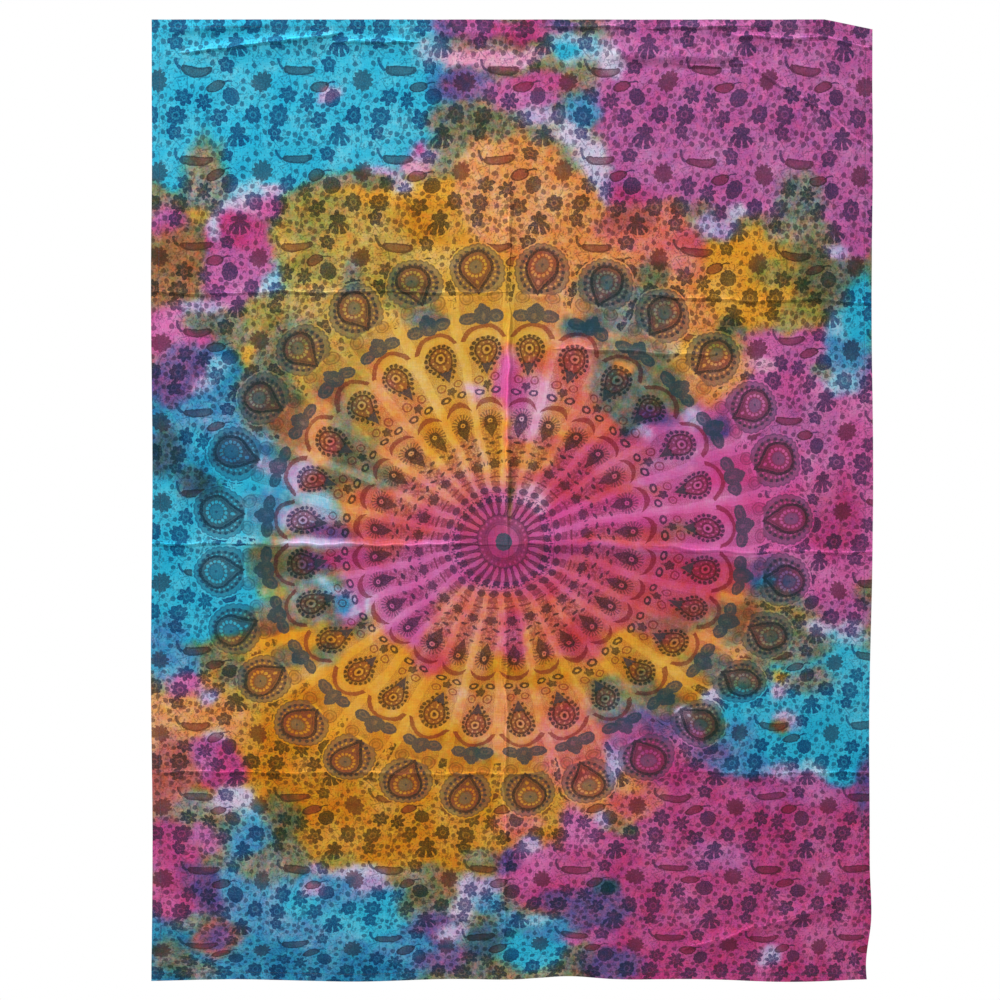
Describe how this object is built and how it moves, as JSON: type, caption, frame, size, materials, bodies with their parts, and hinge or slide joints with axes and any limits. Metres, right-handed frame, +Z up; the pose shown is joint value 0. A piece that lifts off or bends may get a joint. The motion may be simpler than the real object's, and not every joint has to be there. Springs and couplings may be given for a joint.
{
  "type": "tapestry wall hanging",
  "caption": "Upright printed and tie-dyed cotton cloth with hemmed edges, hung flat on a wall by its top hem, which the rest of the cloth swings from.",
  "frame": {"origin": "centre of the top hem's back face, which lies on the wall", "axes": "+Z up, +X to the viewer's right, -Y out of the printed face, +Y into the wall"},
  "size_m": [0.762, 0.0014, 1.016],
  "materials": {
    "printed_cloth": "plain-weave cotton, tie-dyed in blue, pink, yellow and orange and screen printed in black and red",
    "hem_cloth": "the same dyed cotton turned to the back, with the print showing through faintly",
    "sewing_thread": "dark spun polyester sewing thread"
  },
  "bodies": {
    "held_edge": {"top_hem": "hem_cloth", "top_needle_thread": "sewing_thread", "top_bobbin_thread": "sewing_thread"},
    "hanging_cloth": {"cloth_panel": "printed_cloth", "bottom_hem": "hem_cloth", "left_hem": "hem_cloth", "right_hem": "hem_cloth", "bottom_needle_thread": "sewing_thread", "bottom_bobbin_thread": "sewing_thread", "left_needle_thread": "sewing_thread", "left_bobbin_thread": "sewing_thread", "right_needle_thread": "sewing_thread", "right_bobbin_thread": "sewing_thread"}
  },
  "joints": [
    {"name": "cloth_swing", "type": "hinge", "parent": "held_edge", "child": "hanging_cloth", "pos_m": [0, -0.0012, -0.00525], "axis": [-1, 0, 0], "range_deg": [0, 75]}
  ]
}
